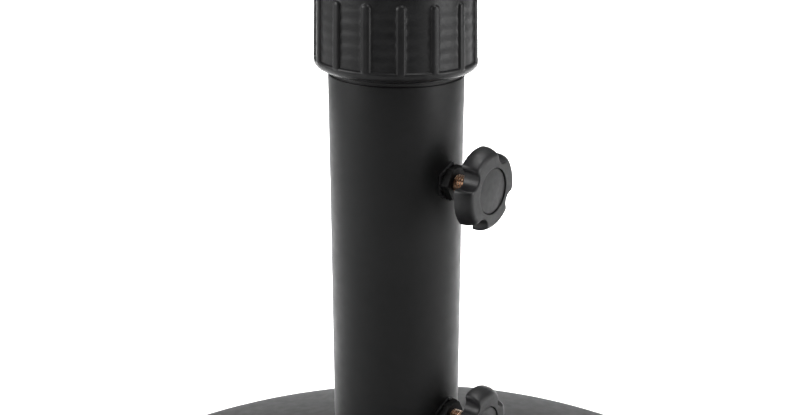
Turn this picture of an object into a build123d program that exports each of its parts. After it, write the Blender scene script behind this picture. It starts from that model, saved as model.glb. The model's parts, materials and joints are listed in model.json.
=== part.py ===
from build123d import *

import math
import os

# A parasol base: a weighted steel dome, a stem tube with two clamp knobs, and a screw collar for the pole.
# Millimetres. +Z is up, the floor is z = 0 and the stem's axis is x = y = 0. -Y is the front.

# Weight: a pressed steel shell over concrete, closed by a steel plate that stands on rubber feet
WEIGHT_RADIUS = 250.0
SHELL_THICKNESS = 1.5
SHELL_BOTTOM = 4.0
SHOULDER_RADIUS = 16.0
SHOULDER_CENTRE_Z = 33.3
DOME_SLOPE = 14.0              # degrees, where the dome runs into its shoulder
PLATE_BOTTOM = 11.0
PLATE_TOP = 13.0

FOOT_COUNT = 6
FOOT_CIRCLE_RADIUS = 208.0
FOOT_RADIUS = 17.0
FOOT_TOP_RADIUS = 15.5
FOOT_RECESS_RADIUS = 7.0
FOOT_RECESS_TOP = 6.0
FOOT_SCREW_RADIUS = 2.5
FOOT_SCREW_HEAD_RADIUS = 5.0
FOOT_SCREW_HEAD_BOTTOM = 2.6
FOOT_SCREW_DRIVE_RADIUS = 2.0
FOOT_SCREW_TIP = 20.0
SCREW_POCKET_RADIUS = 3.6
SCREW_POCKET_TOP = 23.0

# Stem
TUBE_RADIUS = 30.0
TUBE_WALL = 2.0
TUBE_BORE_RADIUS = TUBE_RADIUS - TUBE_WALL
TUBE_TOP = 335.0
FOOT_DISC_THICKNESS = 6.0
ANCHOR_RADIUS = 6.0            # M12
ANCHOR_HOLE_RADIUS = 6.5
ANCHOR_HEAD_FLATS = 18.0
ANCHOR_HEAD_HEIGHT = 7.5
ANCHOR_NUT_FLATS = 19.0
ANCHOR_NUT_HEIGHT = 10.0
ANCHOR_WASHER_RADIUS = 20.0
ANCHOR_WASHER_THICKNESS = 1.5
ANCHOR_PROTRUSION = 2.5
TRIM_RING_RADIUS = 38.0
TRIM_RING_TOP = 84.0

# Clamps: an M8 screw with a lobed knob runs in a weld nut and pushes a shoe against the pole
CLAMP_AZIMUTH = math.radians(59.0)     # from the front towards +X
CLAMP_HEIGHTS = {"upper": TUBE_TOP - 44.7, "lower": TUBE_TOP - 161.6}
KNOB_TURNS = {"upper": 62.0, "lower": 35.0}     # degrees to a notch, from the horizontal, seen from outside
SCREW_RADIUS = 4.0
SCREW_RUNNING_GAP = 0.06
SCREW_TIP_RADIUS = 3.0
SCREW_HEAD_FLATS = 13.0
SCREW_HEAD_THICKNESS = 5.3
WELD_NUT_FLATS = 14.0
WELD_NUT_TOP = 33.8            # distances along the screw are from the stem's axis
NUT_PILOT_RADIUS = 5.2
NUT_PILOT_HOLE_RADIUS = 5.25
SHOE_OUTER_RADIUS = 27.7
SHOE_INNER_RADIUS = 25.5
SHOE_HALF_ANGLE = 16.0
SHOE_HEIGHT = 17.0
SHOE_SOCKET_FLOOR = 26.4
KNOB_REAR = 44.3
KNOB_FRONT = 52.3
KNOB_RADIUS = 18.7
KNOB_FLANK_START = 45.7
KNOB_FLANK_ROUNDING = 10.5     # the flank leans in on this large radius and meets the face on a small one
KNOB_EDGE_ROUNDING = 2.6
KNOB_WALL = 1.8
KNOB_HUB_RADIUS = 11.4
KNOB_HUB_BOTTOM = 43.3
KNOB_NOTCH_COUNT = 4
KNOB_NOTCH_RADIUS = 4.4
KNOB_NOTCH_CENTRE = 17.4
KNOB_CAP_RADIUS = 10.1
KNOB_CAP_GAP = 0.25
KNOB_CAP_SEAT = 50.6
KNOB_CAP_TOP = 51.8

# Collar: a sleeve in the tube's top, a split collet round the pole, and a ribbed nut
THREAD_PITCH = 5.0
THREAD_ROOT_WIDTH = 2.6
THREAD_CREST_WIDTH = 1.3
THREAD_OVERLAP = 0.2           # how far a thread ridge is sunk in its wall
SLEEVE_BORE_RADIUS = 25.6
SLEEVE_ROOT_RADIUS = 29.0
SLEEVE_CREST_RADIUS = 30.5
SLEEVE_FLANGE_RADIUS = 30.3
SLEEVE_FLANGE_BOTTOM = TUBE_TOP + 1.2
SLEEVE_FLANGE_TOP = TUBE_TOP + 2.1
SLEEVE_NECK_RADIUS = 29.2
SLEEVE_SPIGOT_BOTTOM = TUBE_TOP - 27.0
SLEEVE_THREAD_START = TUBE_TOP + 5.0
SLEEVE_THREAD_HEIGHT = 19.0
SLEEVE_THREAD_END = TUBE_TOP + 26.0
SLEEVE_LIP_RADIUS = 28.4
SLEEVE_TOP = TUBE_TOP + 30.5
COLLET_BORE_RADIUS = 25.2
COLLET_RADIUS = 29.6
COLLET_BOTTOM = TUBE_TOP + 31.0
COLLET_SPLIT = 3.0
COLLAR_BOTTOM = TUBE_TOP + 2.7
COLLAR_TOP = TUBE_TOP + 45.0
COLLAR_BEAD_RADIUS = 35.9
COLLAR_BEAD_ROUNDING = 3.3
COLLAR_PANEL_BOTTOM = TUBE_TOP + 7.2
COLLAR_PANEL_RADIUS = 34.9
COLLAR_NECK_RADIUS = 34.0
COLLAR_SHOULDER = 6.0
COLLAR_OPENING_RADIUS = 26.0
COLLAR_BORE_RADIUS = 31.0
COLLAR_CREST_RADIUS = 29.45
COLLAR_THREAD_START = SLEEVE_THREAD_START + THREAD_PITCH / 2
COLLAR_THREAD_HEIGHT = 15.0
COLLAR_GROOVE_RADIUS = 30.0
COLLAR_LIP_RADIUS = 28.9
COLLAR_CONE_BOTTOM = TUBE_TOP + 37.0
COLLAR_CONE_TOP = TUBE_TOP + 43.0
CONE_GAP = 0.3
RIB_COUNT = 15
RIB_AZIMUTH = 9.4              # degrees from the front towards +X
RIB_WIDTH = 4.0
RIB_ROUNDING = 1.1
RIB_CREST_RADIUS = 36.1
RIB_DRAFT = 1.8
RIB_BOTTOM = TUBE_TOP + 6.6
RIB_TOP = TUBE_TOP + 34.8
RIB_DEPTH = 2.6


def disc(radius, bottom, top):
    """A solid cylinder on the axis between two heights."""
    return Pos(0, 0, bottom) * Cylinder(radius, top - bottom, align=(Align.CENTER, Align.CENTER, Align.MIN))


def hexagon(flats, bottom, top):
    """A hexagonal prism whose outer corners are chamfered as on a nut."""
    corner_radius = flats / math.sqrt(3)
    prism = Pos(0, 0, bottom) * extrude(RegularPolygon(corner_radius, 6), top - bottom)
    rounding = disc(corner_radius, bottom, top)
    rounding = chamfer(rounding.edges().filter_by(GeomType.CIRCLE), 0.07 * flats, 0.03 * flats)
    return prism & rounding


def turned(*outline):
    """The solid of revolution of a closed outline of (radius, z) points."""
    return revolve(Plane.XZ * make_face(Polyline(*outline, close=True)), Axis.Z)


def round_copies(shape, count, start=0.0):
    """Copies of a shape spaced evenly round the axis."""
    return [Rot(0, 0, start + 360.0 * i / count) * shape for i in range(count)]


def foot_places():
    return [
        Rot(0, 0, 360.0 * i / FOOT_COUNT) * Pos(FOOT_CIRCLE_RADIUS, 0, 0)
        for i in range(FOOT_COUNT)
    ]


def at_feet(shape):
    return [place * shape for place in foot_places()]


def dome(inset, bottom):
    """The weight's outer form, drawn in by inset all over, down to a flat bottom."""
    slope = math.radians(DOME_SLOPE)
    shoulder_x = WEIGHT_RADIUS - SHOULDER_RADIUS
    round_radius = SHOULDER_RADIUS - inset

    def shoulder_point(angle):
        return (
            shoulder_x + round_radius * math.sin(angle),
            SHOULDER_CENTRE_Z + round_radius * math.cos(angle),
        )

    side_angle = math.radians(90)
    side = shoulder_point(side_angle)
    shoulder_end = shoulder_point(slope)
    sphere_radius = shoulder_end[0] / math.sin(slope)
    sphere_z = shoulder_end[1] - sphere_radius * math.cos(slope)
    apex = (0, sphere_z + sphere_radius)
    dome_middle = (
        sphere_radius * math.sin(slope / 2),
        sphere_z + sphere_radius * math.cos(slope / 2),
    )
    outline = [
        Line((0, bottom), (side[0], bottom)),
        Line((side[0], bottom), side),
        ThreePointArc(side, shoulder_point((side_angle + slope) / 2), shoulder_end),
        ThreePointArc(shoulder_end, dome_middle, apex),
        Line(apex, (0, bottom)),
    ]
    return revolve(Plane.XZ * make_face(outline), Axis.Z)


def thread_ridge(root_radius, crest_radius, start, height):
    """A helical ridge, sunk a little in its wall; it points outwards or inwards as the radii say."""
    outwards = 1 if crest_radius > root_radius else -1
    wall_radius = root_radius - outwards * THREAD_OVERLAP
    depth = crest_radius - wall_radius
    path = Helix(pitch=THREAD_PITCH, height=height, radius=wall_radius)
    section = Plane(origin=path @ 0, x_dir=(1, 0, 0), z_dir=path % 0) * make_face(
        Polyline(
            (0, -THREAD_ROOT_WIDTH / 2),
            (depth, -THREAD_CREST_WIDTH / 2),
            (depth, THREAD_CREST_WIDTH / 2),
            (0, THREAD_ROOT_WIDTH / 2),
            close=True,
        )
    )
    return Pos(0, 0, start) * sweep(section, path=path, is_frenet=True)


# ---- Weight

def weight_shell():
    return dome(0, SHELL_BOTTOM) - dome(SHELL_THICKNESS, 0) - disc(TUBE_RADIUS, 0, TUBE_TOP)


def concrete_core():
    pockets = at_feet(disc(SCREW_POCKET_RADIUS, PLATE_TOP, SCREW_POCKET_TOP))
    return dome(SHELL_THICKNESS, PLATE_TOP) - disc(TUBE_RADIUS, 0, TUBE_TOP) - pockets


def base_plate():
    plate = disc(WEIGHT_RADIUS - SHELL_THICKNESS, PLATE_BOTTOM, PLATE_TOP)
    holes = at_feet(disc(FOOT_SCREW_RADIUS, 0, PLATE_TOP))
    return plate - disc(ANCHOR_HOLE_RADIUS, 0, PLATE_TOP) - holes


def rubber_feet():
    foot = turned(
        (FOOT_SCREW_RADIUS, PLATE_BOTTOM),
        (FOOT_SCREW_RADIUS, FOOT_RECESS_TOP),
        (FOOT_RECESS_RADIUS, FOOT_RECESS_TOP),
        (FOOT_RECESS_RADIUS, 0),
        (FOOT_RADIUS - 1.5, 0),
        (FOOT_RADIUS, 1.5),
        (FOOT_TOP_RADIUS, PLATE_BOTTOM),
    )
    return Compound(at_feet(foot))


def feet_screws():
    head_round = 1.2
    screw = turned(
        (0, FOOT_SCREW_HEAD_BOTTOM),
        (FOOT_SCREW_HEAD_RADIUS - head_round, FOOT_SCREW_HEAD_BOTTOM),
        (FOOT_SCREW_HEAD_RADIUS, FOOT_SCREW_HEAD_BOTTOM + head_round),
        (FOOT_SCREW_HEAD_RADIUS, FOOT_RECESS_TOP),
        (FOOT_SCREW_RADIUS, FOOT_RECESS_TOP),
        (FOOT_SCREW_RADIUS, FOOT_SCREW_TIP - FOOT_SCREW_RADIUS),
        (0, FOOT_SCREW_TIP),
    )
    drive = disc(FOOT_SCREW_DRIVE_RADIUS, 0, FOOT_SCREW_HEAD_BOTTOM + 1.8)
    return Compound(at_feet(screw - drive))


# ---- Stem

def clamp_plane(height):
    """The frame of a clamp: Z points out along its screw, Y points up."""
    outward = (math.sin(CLAMP_AZIMUTH), -math.cos(CLAMP_AZIMUTH), 0)
    sideways = (math.cos(CLAMP_AZIMUTH), math.sin(CLAMP_AZIMUTH), 0)
    return Plane(origin=(0, 0, height), x_dir=sideways, z_dir=outward)


def stem_tube():
    tube = disc(TUBE_RADIUS, PLATE_TOP, TUBE_TOP) - disc(TUBE_BORE_RADIUS, 0, TUBE_TOP)
    for height in CLAMP_HEIGHTS.values():
        tube -= clamp_plane(height) * disc(NUT_PILOT_HOLE_RADIUS, 0, TUBE_RADIUS + 5)
    return tube


def foot_disc():
    plate = disc(TUBE_BORE_RADIUS, PLATE_TOP, PLATE_TOP + FOOT_DISC_THICKNESS)
    return plate - disc(ANCHOR_HOLE_RADIUS, 0, TUBE_TOP)


def anchor_nut():
    bottom = PLATE_TOP + FOOT_DISC_THICKNESS
    return hexagon(ANCHOR_NUT_FLATS, bottom, bottom + ANCHOR_NUT_HEIGHT) - disc(ANCHOR_RADIUS, 0, TUBE_TOP)


def anchor_washer():
    washer = disc(ANCHOR_WASHER_RADIUS, PLATE_BOTTOM - ANCHOR_WASHER_THICKNESS, PLATE_BOTTOM)
    return washer - disc(ANCHOR_HOLE_RADIUS, 0, PLATE_TOP)


def anchor_bolt():
    head_top = PLATE_BOTTOM - ANCHOR_WASHER_THICKNESS
    tip = PLATE_TOP + FOOT_DISC_THICKNESS + ANCHOR_NUT_HEIGHT + ANCHOR_PROTRUSION
    shank = disc(ANCHOR_RADIUS, head_top, tip)
    shank = chamfer(shank.edges().group_by(Axis.Z)[-1], 0.8)
    return hexagon(ANCHOR_HEAD_FLATS, head_top - ANCHOR_HEAD_HEIGHT, head_top) + shank


def trim_ring():
    ring = disc(TRIM_RING_RADIUS, TRIM_RING_TOP - 15, TRIM_RING_TOP)
    ring = fillet(ring.edges().group_by(Axis.Z)[-1], 3.5)
    return ring - disc(TUBE_RADIUS, 0, TUBE_TOP) - dome(0, 0)


# ---- Clamps, each drawn in its own frame

def weld_nut():
    """A hexagonal nut on the tube's wall, with a round pilot that fills the hole in it."""
    nut = hexagon(WELD_NUT_FLATS, TUBE_BORE_RADIUS, WELD_NUT_TOP) - Rot(90, 0, 0) * Cylinder(TUBE_RADIUS, 60)
    pilot = disc(NUT_PILOT_RADIUS, 0, TUBE_RADIUS + 1) - Rot(90, 0, 0) * Cylinder(TUBE_BORE_RADIUS, 60)
    return nut + pilot - disc(SCREW_RADIUS + SCREW_RUNNING_GAP, 0, WELD_NUT_TOP)


def clamp_screw():
    head_bottom = KNOB_CAP_SEAT - SCREW_HEAD_THICKNESS
    shaft = disc(SCREW_RADIUS, SHOE_OUTER_RADIUS + 0.1, head_bottom)
    tip = disc(SCREW_TIP_RADIUS, SHOE_SOCKET_FLOOR + 0.1, SHOE_OUTER_RADIUS + 0.1)
    return tip + shaft + hexagon(SCREW_HEAD_FLATS, head_bottom, KNOB_CAP_SEAT)


def shoe():
    """A piece of a pipe that follows the tube's bore, with a socket for the screw's tip."""
    pipe = Cylinder(SHOE_OUTER_RADIUS, SHOE_HEIGHT) - Cylinder(SHOE_INNER_RADIUS, SHOE_HEIGHT)
    pipe = Rot(90, 0, 0) * pipe
    reach = SHOE_OUTER_RADIUS
    half_width = reach * math.tan(math.radians(SHOE_HALF_ANGLE))
    wedge = Plane.XZ * make_face(Polyline((0, 0), (half_width, reach), (-half_width, reach), close=True))
    wedge = extrude(wedge, SHOE_HEIGHT / 2, both=True)
    depth = 2 * (SHOE_OUTER_RADIUS - SHOE_INNER_RADIUS) + 3
    block = Pos(0, 0, reach) * Box(2 * half_width, SHOE_HEIGHT, depth)
    socket = disc(SCREW_TIP_RADIUS + SCREW_RUNNING_GAP, SHOE_SOCKET_FLOOR, SHOE_OUTER_RADIUS + 1)
    return (pipe & wedge & block) - socket


def knob_notches(radius):
    """The four finger notches, each a slot with a round bottom that opens outwards."""
    reach = 2 * KNOB_RADIUS
    height = KNOB_FRONT - KNOB_REAR + 2
    middle = (KNOB_FRONT + KNOB_REAR) / 2
    slot = Pos(KNOB_NOTCH_CENTRE, 0, middle) * Cylinder(radius, height)
    slot += Pos(KNOB_NOTCH_CENTRE + reach / 2, 0, middle) * Box(reach, 2 * radius, height)
    return round_copies(slot, KNOB_NOTCH_COUNT)


def knob_form(inset, bottom):
    """The knob's outer form without its notches, drawn in by inset."""
    side = KNOB_RADIUS - inset
    top = KNOB_FRONT - inset
    flank_x = KNOB_RADIUS - KNOB_FLANK_ROUNDING
    flank_radius = KNOB_FLANK_ROUNDING - inset
    edge_radius = KNOB_EDGE_ROUNDING - inset
    edge_rise = KNOB_FRONT - KNOB_EDGE_ROUNDING - KNOB_FLANK_START
    edge_angle = math.asin(edge_rise / (KNOB_FLANK_ROUNDING - KNOB_EDGE_ROUNDING))
    edge_x = flank_x + edge_rise / math.tan(edge_angle)
    edge_z = top - edge_radius

    def flank_point(angle):
        return (flank_x + flank_radius * math.cos(angle), KNOB_FLANK_START + flank_radius * math.sin(angle))

    middle_angle = (edge_angle + math.pi / 2) / 2
    edge_middle = (
        edge_x + edge_radius * math.cos(middle_angle),
        edge_z + edge_radius * math.sin(middle_angle),
    )
    outline = [
        Line((0, bottom), (side, bottom)),
        Line((side, bottom), flank_point(0)),
        ThreePointArc(flank_point(0), flank_point(edge_angle / 2), flank_point(edge_angle)),
        ThreePointArc(flank_point(edge_angle), edge_middle, (edge_x, top)),
        Line((edge_x, top), (0, top)),
        Line((0, top), (0, bottom)),
    ]
    return revolve(Plane.XZ * make_face(outline), Axis.Z)


def knob():
    head = knob_form(0, KNOB_REAR) - knob_notches(KNOB_NOTCH_RADIUS)
    hollow = knob_form(KNOB_WALL, KNOB_REAR - 1) - disc(KNOB_HUB_RADIUS, 0, KNOB_FRONT)
    hollow -= knob_notches(KNOB_NOTCH_RADIUS + KNOB_WALL)
    head -= hollow
    head += disc(KNOB_HUB_RADIUS, KNOB_HUB_BOTTOM, KNOB_REAR + KNOB_WALL)
    head -= disc(KNOB_CAP_RADIUS + KNOB_CAP_GAP, KNOB_CAP_SEAT, KNOB_FRONT + 1)
    head -= disc(SCREW_RADIUS, 0, KNOB_FRONT)
    return head - hexagon(SCREW_HEAD_FLATS, KNOB_CAP_SEAT - SCREW_HEAD_THICKNESS, KNOB_CAP_SEAT)


def knob_cap():
    cap = disc(KNOB_CAP_RADIUS, KNOB_CAP_SEAT, KNOB_CAP_TOP)
    return fillet(cap.edges().group_by(Axis.Z)[-1], 0.5)


# ---- Collar

def threaded_sleeve():
    body = turned(
        (SLEEVE_BORE_RADIUS, SLEEVE_SPIGOT_BOTTOM),
        (TUBE_BORE_RADIUS, SLEEVE_SPIGOT_BOTTOM),
        (TUBE_BORE_RADIUS, TUBE_TOP),
        (SLEEVE_NECK_RADIUS, TUBE_TOP),
        (SLEEVE_NECK_RADIUS, SLEEVE_FLANGE_BOTTOM),
        (SLEEVE_FLANGE_RADIUS, SLEEVE_FLANGE_BOTTOM),
        (SLEEVE_FLANGE_RADIUS, SLEEVE_FLANGE_TOP),
        (SLEEVE_ROOT_RADIUS, SLEEVE_FLANGE_TOP),
        (SLEEVE_ROOT_RADIUS, SLEEVE_THREAD_END),
        (SLEEVE_LIP_RADIUS, SLEEVE_THREAD_END),
        (SLEEVE_LIP_RADIUS, SLEEVE_TOP),
        (SLEEVE_BORE_RADIUS, SLEEVE_TOP),
    )
    thread = thread_ridge(SLEEVE_ROOT_RADIUS, SLEEVE_CREST_RADIUS, SLEEVE_THREAD_START, SLEEVE_THREAD_HEIGHT)
    return body + thread


def collet():
    cone_run = COLLAR_GROOVE_RADIUS - COLLAR_OPENING_RADIUS
    cone_rise = COLLAR_CONE_TOP - COLLAR_CONE_BOTTOM
    cone_length = math.hypot(cone_run, cone_rise)
    gap_x = CONE_GAP * cone_rise / cone_length
    gap_z = CONE_GAP * cone_run / cone_length
    slope = cone_run / cone_rise

    def cone_radius(z):
        return COLLAR_GROOVE_RADIUS - gap_x - slope * (z - COLLAR_CONE_BOTTOM + gap_z)

    flange_top = COLLAR_CONE_BOTTOM - 1.0
    collet_top = COLLAR_CONE_TOP - 0.8
    ring = turned(
        (COLLET_BORE_RADIUS, COLLET_BOTTOM),
        (COLLET_RADIUS, COLLET_BOTTOM),
        (COLLET_RADIUS, flange_top),
        (cone_radius(COLLAR_CONE_BOTTOM), COLLAR_CONE_BOTTOM),
        (cone_radius(collet_top), collet_top),
        (COLLET_BORE_RADIUS, collet_top),
    )
    split = Pos(-COLLET_RADIUS, 0, COLLET_BOTTOM) * Box(COLLET_RADIUS, COLLET_SPLIT, 60)
    return ring - split


def collar_rib():
    """One grip rib at the +X side, with a rounded crest and top, leaning in by its draft."""
    height = RIB_TOP - RIB_BOTTOM
    rib = Pos(-RIB_DEPTH / 2, 0, height / 2) * Box(RIB_DEPTH, RIB_WIDTH, height)
    crest = rib.edges().group_by(Axis.X)[-1]
    rib = fillet(crest.filter_by(Axis.Z) + crest.group_by(Axis.Z)[-1], RIB_ROUNDING)
    return Pos(RIB_CREST_RADIUS, 0, RIB_BOTTOM) * Rot(0, -RIB_DRAFT, 0) * rib


def collar_nut():
    bead_x = COLLAR_BEAD_RADIUS - COLLAR_BEAD_ROUNDING
    bead_z = COLLAR_BOTTOM + COLLAR_BEAD_ROUNDING
    bead_bend = COLLAR_BEAD_ROUNDING * math.sin(math.radians(45))
    shoulder_bottom = COLLAR_TOP - COLLAR_SHOULDER
    shoulder_x = COLLAR_NECK_RADIUS - COLLAR_SHOULDER
    shoulder_bend = COLLAR_SHOULDER * math.sin(math.radians(45))
    outline = [
        Polyline((0, COLLAR_TOP), (0, COLLAR_BOTTOM), (bead_x, COLLAR_BOTTOM)),
        ThreePointArc(
            (bead_x, COLLAR_BOTTOM),
            (bead_x + bead_bend, bead_z - bead_bend),
            (COLLAR_BEAD_RADIUS, bead_z),
        ),
        Polyline(
            (COLLAR_BEAD_RADIUS, bead_z),
            (COLLAR_BEAD_RADIUS - 0.4, COLLAR_PANEL_BOTTOM - 0.3),
            (COLLAR_PANEL_RADIUS, COLLAR_PANEL_BOTTOM),
            (COLLAR_NECK_RADIUS, shoulder_bottom),
        ),
        ThreePointArc(
            (COLLAR_NECK_RADIUS, shoulder_bottom),
            (shoulder_x + shoulder_bend, shoulder_bottom + shoulder_bend),
            (shoulder_x, COLLAR_TOP),
        ),
        Line((shoulder_x, COLLAR_TOP), (0, COLLAR_TOP)),
    ]
    body = revolve(Plane.XZ * make_face(outline), Axis.Z)
    body += round_copies(collar_rib(), RIB_COUNT, RIB_AZIMUTH - 90)
    lip_bottom = SLEEVE_THREAD_END + 2.5
    lip_top = COLLET_BOTTOM - 0.5
    body -= turned(
        (0, COLLAR_BOTTOM - 1),
        (COLLAR_BORE_RADIUS, COLLAR_BOTTOM - 1),
        (COLLAR_BORE_RADIUS, lip_bottom),
        (COLLAR_LIP_RADIUS, lip_bottom),
        (COLLAR_LIP_RADIUS, lip_top),
        (COLLAR_GROOVE_RADIUS, lip_top),
        (COLLAR_GROOVE_RADIUS, COLLAR_CONE_BOTTOM),
        (COLLAR_OPENING_RADIUS, COLLAR_CONE_TOP),
        (COLLAR_OPENING_RADIUS, COLLAR_TOP + 1),
        (0, COLLAR_TOP + 1),
    )
    thread = thread_ridge(COLLAR_BORE_RADIUS, COLLAR_CREST_RADIUS, COLLAR_THREAD_START, COLLAR_THREAD_HEIGHT)
    return body + thread


def clamp_nodes(name):
    """The pieces of one clamp, set on the stem; the knob and its screw are turned to their rest angle."""
    plane = clamp_plane(CLAMP_HEIGHTS[name])
    turn = Rot(0, 0, KNOB_TURNS[name])
    return {
        name + "_weld_nut": plane * weld_nut(),
        name + "_screw": plane * (turn * clamp_screw()),
        name + "_knob": plane * (turn * knob()),
        name + "_knob_cap": plane * (turn * knob_cap()),
        name + "_shoe": plane * shoe(),
    }


def all_nodes():
    nodes = {
        "weight_shell": weight_shell(),
        "concrete_core": concrete_core(),
        "base_plate": base_plate(),
        "rubber_feet": rubber_feet(),
        "feet_screws": feet_screws(),
        "stem_tube": stem_tube(),
        "foot_disc": foot_disc(),
        "anchor_nut": anchor_nut(),
        "anchor_washer": anchor_washer(),
        "anchor_bolt": anchor_bolt(),
        "trim_ring": trim_ring(),
        "threaded_sleeve": threaded_sleeve(),
        "collet": collet(),
        "collar_nut": collar_nut(),
    }
    for name in CLAMP_HEIGHTS:
        nodes.update(clamp_nodes(name))
    return nodes


os.makedirs("parts", exist_ok=True)
for node_name, shape in all_nodes().items():
    export_step(shape, "parts/" + node_name + ".step")
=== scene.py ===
import json
import math

import bpy
import bmesh
import numpy as np
from mathutils import Matrix, Vector


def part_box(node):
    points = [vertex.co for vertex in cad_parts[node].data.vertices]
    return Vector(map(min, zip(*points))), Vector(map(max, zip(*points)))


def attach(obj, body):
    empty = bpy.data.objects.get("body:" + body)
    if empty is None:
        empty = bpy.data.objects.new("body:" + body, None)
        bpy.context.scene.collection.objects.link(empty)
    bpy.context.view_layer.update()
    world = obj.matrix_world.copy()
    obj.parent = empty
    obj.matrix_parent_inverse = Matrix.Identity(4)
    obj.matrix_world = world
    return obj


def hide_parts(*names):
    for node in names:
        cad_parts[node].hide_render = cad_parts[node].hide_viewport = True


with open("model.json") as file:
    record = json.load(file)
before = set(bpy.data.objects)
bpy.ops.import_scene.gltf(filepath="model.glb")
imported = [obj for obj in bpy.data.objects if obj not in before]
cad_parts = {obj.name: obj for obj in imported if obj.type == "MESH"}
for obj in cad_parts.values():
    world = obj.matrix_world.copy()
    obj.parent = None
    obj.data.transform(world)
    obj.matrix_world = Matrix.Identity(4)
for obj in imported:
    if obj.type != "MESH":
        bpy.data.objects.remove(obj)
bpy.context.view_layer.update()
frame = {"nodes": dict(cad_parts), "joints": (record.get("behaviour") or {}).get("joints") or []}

# A parasol base: a weighted dome, a stem with two clamp knobs and a ribbed collar. Lengths are in metres.
MM = 0.001
TAU = 2 * math.pi


# ---------------------------------------------------------------- sizes read from the frame

def joint(name):
    return next(j for j in frame["joints"] if j["name"] == name)


def reach(node):
    """The largest distance of a node's vertices from the stem's axis."""
    return max(math.hypot(v.co.x, v.co.y) for v in frame["nodes"][node].data.vertices)


tube_low, tube_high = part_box("stem_tube")
TUBE_RADIUS = reach("stem_tube")
TUBE_TOP = tube_high[2]
TUBE_BOTTOM = tube_low[2]
TUBE_WALL = 2.0 * MM
TUBE_BORE = TUBE_RADIUS - TUBE_WALL
WEIGHT_RADIUS = reach("weight_shell")
SHELL_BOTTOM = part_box("weight_shell")[0][2]
collar_low, collar_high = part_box("collar_nut")
sleeve_low, sleeve_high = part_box("threaded_sleeve")
trim_low, trim_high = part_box("trim_ring")

# Weight
SHELL_THICKNESS = 1.5 * MM
SHOULDER_RADIUS = 16.0 * MM
SHOULDER_CENTRE_Z = 33.3 * MM
DOME_SLOPE = math.radians(14.0)
FOOT_COUNT = 6
FOOT_RADIUS = 17.0 * MM

# Trim ring
TRIM_CLEARANCE = 0.05 * MM
TRIM_ROUNDING = 3.4 * MM

# Knob, measured along its screw from the stem's axis
KNOB_REAR = 44.3 * MM
KNOB_FRONT = 52.3 * MM
KNOB_RADIUS = 18.7 * MM
KNOB_FLANK_START = 45.7 * MM
KNOB_FLANK_ROUNDING = 10.5 * MM
KNOB_EDGE_ROUNDING = 2.6 * MM
KNOB_WALL = 1.8 * MM
KNOB_HUB_RADIUS = 11.1 * MM
KNOB_HUB_BOTTOM = 43.3 * MM
KNOB_NOTCH_RADIUS = 4.4 * MM
KNOB_NOTCH_CENTRE = 17.4 * MM
KNOB_NOTCH_FLARE = 0.6 * MM
KNOB_CORNER_RADIUS = 1.5 * MM
KNOB_INNER_CORNER_RADIUS = 0.4 * MM
KNOB_RIM_ROUNDING = 0.3 * MM
KNOB_SEAT_ROUNDING = 0.22 * MM
KNOB_SEAT_RADIUS = 10.35 * MM
KNOB_CAP_RADIUS = 10.1 * MM
KNOB_CAP_SEAT = 50.6 * MM
KNOB_CAP_TOP = 51.8 * MM
KNOB_TURNS = {"upper": math.radians(62.0), "lower": math.radians(35.0)}

# Screw, weld nut and weld
SCREW_RADIUS = 4.0 * MM
SCREW_PITCH = 1.25 * MM
SCREW_DEPTH = 0.61 * SCREW_PITCH
SCREW_STEPS = 14
SCREW_TIP = 26.5 * MM
SCREW_TIP_RADIUS = 3.0 * MM
SCREW_THREAD_START = 27.85 * MM
SCREW_HEAD_BOTTOM = 45.3 * MM
SCREW_HEAD_FLATS = 13.0 * MM
SCREW_HEAD_POCKET = 7.65 * MM
PIPE_HOLE_RADIUS = 5.25 * MM
NUT_FLAT_DISTANCE = 7.0 * MM
NUT_CORNER_DISTANCE = 7.75 * MM
WELD_RADIUS = 1.0 * MM

# Collar
THREAD_PITCH = 5.0 * MM
THREAD_ROOT_WIDTH = 2.6 * MM
THREAD_CREST_WIDTH = 1.3 * MM
THREAD_DEPTH = 1.5 * MM
THREAD_FADE = 0.08
THREAD_TOP = TUBE_TOP + 26 * MM
THREAD_SINK = 0.12 * MM
RIB_COUNT = 15
RIB_AZIMUTH = math.radians(9.4 - 90)
RIB_WIDTH = 4.0 * MM
RIB_HEIGHT = 1.2 * MM
RIB_BASE_RADIUS = 34.0 * MM
RIB_TOP = TUBE_TOP + 34.8 * MM
RIB_BOTTOM = TUBE_TOP + 5.0 * MM
PANEL_RADIUS = 34.9 * MM
NECK_RADIUS = 34.0 * MM
BEAD_RADIUS = 35.9 * MM
BEAD_ROUNDING = 3.3 * MM
PANEL_RISE = 4.6 * MM
COLLAR_ROUNDING = 6.0 * MM
COLLAR_OPENING = 26.0 * MM
COLLAR_CHAMBER = 30.0 * MM
COLLAR_LIP = 28.9 * MM
COLLAR_LIP_BOTTOM = TUBE_TOP + 28.5 * MM
COLLAR_LIP_TOP = TUBE_TOP + 30.5 * MM
COLLAR_THREAD_BORE = 31.0 * MM

# Sleeve
SLEEVE_BORE = 25.6 * MM
SLEEVE_RADIUS = 29.0 * MM
SLEEVE_PRESSED_RADIUS = 27.98 * MM
FLANGE_RADIUS = 30.3 * MM
FLANGE_BOTTOM = TUBE_TOP + 0.02 * MM
FLANGE_STEP = TUBE_TOP + 1.2 * MM
FLANGE_TOP = TUBE_TOP + 2.1 * MM


# ---------------------------------------------------------------- mesh helpers

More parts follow.
